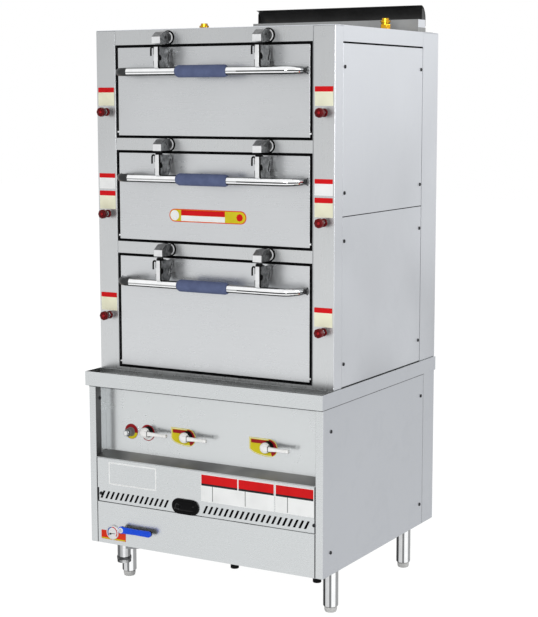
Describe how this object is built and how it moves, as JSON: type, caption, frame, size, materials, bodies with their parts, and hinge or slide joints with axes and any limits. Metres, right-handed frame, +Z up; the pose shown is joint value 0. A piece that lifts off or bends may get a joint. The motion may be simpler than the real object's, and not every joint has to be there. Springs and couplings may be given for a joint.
{
  "type": "steam cabinet",
  "caption": "Tall stainless steel gas steam cabinet with drop-down chamber doors, steam valve knobs, and a boiler base on legs with gas taps and a drain lever.",
  "frame": {"origin": "on the floor, under the middle of the bounding box", "axes": "+Z up, -Y towards the front with the doors, +X to the right as seen from the front"},
  "size_m": [0.92, 0.894, 2.005],
  "materials": {
    "cabinet_steel": "satin brushed stainless steel",
    "polished_steel": "polished",
    "gasket_rubber": "matt black",
    "grip_rubber": "matt slate blue",
    "knob_plastic": "glossy dark red",
    "tap_enamel": "white enamel",
    "lever_vinyl": "blue vinyl dip",
    "vent_brass": "bright",
    "black_steel": "satin black",
    "window_plastic": "glossy black",
    "pipe_iron": "dull grey"
  },
  "bodies": {
    "cabinet": {"base_frame": "cabinet_steel", "lower_shell": "cabinet_steel", "deck": "cabinet_steel", "control_panel": "cabinet_steel", "vent_panel": "cabinet_steel", "kick_panel": "cabinet_steel", "boiler_tank": "cabinet_steel", "front_frame": "cabinet_steel", "side_panel_left": "cabinet_steel", "side_panel_right": "cabinet_steel", "rear_shell": "cabinet_steel", "roof": "cabinet_steel", "flue_duct": "cabinet_steel", "liner_bottom": "cabinet_steel", "liner_middle": "cabinet_steel", "liner_top": "cabinet_steel", "leg_front_left": "polished_steel", "leg_front_right": "polished_steel", "leg_rear_left": "polished_steel", "leg_rear_right": "polished_steel", "catch_bottom_left": "polished_steel", "catch_bottom_right": "polished_steel", "catch_middle_left": "polished_steel", "catch_middle_right": "polished_steel", "catch_top_left": "polished_steel", "catch_top_right": "polished_steel", "rack_bottom": "polished_steel", "rack_middle": "polished_steel", "rack_top": "polished_steel", "relief_vent_left": "vent_brass", "relief_vent_right": "vent_brass", "flue_deflector": "black_steel", "sight_window": "window_plastic", "burner": "pipe_iron", "steam_riser_left": "pipe_iron", "steam_riser_right": "pipe_iron", "drain_valve": "pipe_iron"},
    "door_bottom": {"door_bottom": "cabinet_steel", "gasket_bottom": "gasket_rubber"},
    "handle_bottom": {"handle_bottom": "polished_steel", "grip_bottom": "grip_rubber"},
    "door_middle": {"door_middle": "cabinet_steel", "gasket_middle": "gasket_rubber"},
    "handle_middle": {"handle_middle": "polished_steel", "grip_middle": "grip_rubber"},
    "door_top": {"door_top": "cabinet_steel", "gasket_top": "gasket_rubber"},
    "handle_top": {"handle_top": "polished_steel", "grip_top": "grip_rubber"},
    "igniter_button": {"igniter_button": "polished_steel"},
    "knob_bottom_left": {"knob_bottom_left": "knob_plastic"},
    "knob_bottom_right": {"knob_bottom_right": "knob_plastic"},
    "knob_middle_left": {"knob_middle_left": "knob_plastic"},
    "knob_middle_right": {"knob_middle_right": "knob_plastic"},
    "knob_top_left": {"knob_top_left": "knob_plastic"},
    "knob_top_right": {"knob_top_right": "knob_plastic"},
    "tap_left": {"tap_left": "tap_enamel"},
    "tap_middle": {"tap_middle": "tap_enamel"},
    "tap_right": {"tap_right": "tap_enamel"},
    "drain_lever": {"drain_lever": "lever_vinyl"}
  },
  "joints": [
    {"name": "door_bottom_hinge", "type": "hinge", "parent": "cabinet", "child": "door_bottom", "pos_m": [0, -0.338, 0.79], "axis": [1, 0, 0], "range_deg": [0, 90]},
    {"name": "handle_bottom_pivot", "type": "hinge", "parent": "door_bottom", "child": "handle_bottom", "pos_m": [0, -0.354, 1.073], "axis": [1, 0, 0], "range_deg": [0, 30]},
    {"name": "knob_bottom_left_turn", "type": "hinge", "parent": "cabinet", "child": "knob_bottom_left", "pos_m": [-0.416, -0.373, 0.946], "axis": [0, -1, 0], "range_deg": [0, 360]},
    {"name": "knob_bottom_right_turn", "type": "hinge", "parent": "cabinet", "child": "knob_bottom_right", "pos_m": [0.416, -0.373, 0.946], "axis": [0, -1, 0], "range_deg": [0, 360]},
    {"name": "door_middle_hinge", "type": "hinge", "parent": "cabinet", "child": "door_middle", "pos_m": [0, -0.338, 1.224], "axis": [1, 0, 0], "range_deg": [0, 90]},
    {"name": "handle_middle_pivot", "type": "hinge", "parent": "door_middle", "child": "handle_middle", "pos_m": [0, -0.354, 1.422], "axis": [1, 0, 0], "range_deg": [0, 30]},
    {"name": "knob_middle_left_turn", "type": "hinge", "parent": "cabinet", "child": "knob_middle_left", "pos_m": [-0.416, -0.373, 1.295], "axis": [0, -1, 0], "range_deg": [0, 360]},
    {"name": "knob_middle_right_turn", "type": "hinge", "parent": "cabinet", "child": "knob_middle_right", "pos_m": [0.416, -0.373, 1.295], "axis": [0, -1, 0], "range_deg": [0, 360]},
    {"name": "door_top_hinge", "type": "hinge", "parent": "cabinet", "child": "door_top", "pos_m": [0, -0.338, 1.573], "axis": [1, 0, 0], "range_deg": [0, 90]},
    {"name": "handle_top_pivot", "type": "hinge", "parent": "door_top", "child": "handle_top", "pos_m": [0, -0.354, 1.771], "axis": [1, 0, 0], "range_deg": [0, 30]},
    {"name": "knob_top_left_turn", "type": "hinge", "parent": "cabinet", "child": "knob_top_left", "pos_m": [-0.416, -0.373, 1.639], "axis": [0, -1, 0], "range_deg": [0, 360]},
    {"name": "knob_top_right_turn", "type": "hinge", "parent": "cabinet", "child": "knob_top_right", "pos_m": [0.416, -0.373, 1.639], "axis": [0, -1, 0], "range_deg": [0, 360]},
    {"name": "tap_left_turn", "type": "hinge", "parent": "cabinet", "child": "tap_left", "pos_m": [-0.247, -0.379, 0.556], "axis": [0, -1, 0], "range_deg": [0, 90]},
    {"name": "tap_middle_turn", "type": "hinge", "parent": "cabinet", "child": "tap_middle", "pos_m": [-0.088, -0.379, 0.556], "axis": [0, -1, 0], "range_deg": [0, 90]},
    {"name": "tap_right_turn", "type": "hinge", "parent": "cabinet", "child": "tap_right", "pos_m": [0.225, -0.379, 0.556], "axis": [0, -1, 0], "range_deg": [0, 90]},
    {"name": "drain_lever_turn", "type": "hinge", "parent": "cabinet", "child": "drain_lever", "pos_m": [-0.311, -0.439, 0.22], "axis": [0, 1, 0], "range_deg": [0, 90]},
    {"name": "igniter_button_push", "type": "slide", "parent": "cabinet", "child": "igniter_button", "axis": [0, 1, 0], "range_m": [0, 0.005], "stiffness_N_per_m": 300}
  ]
}
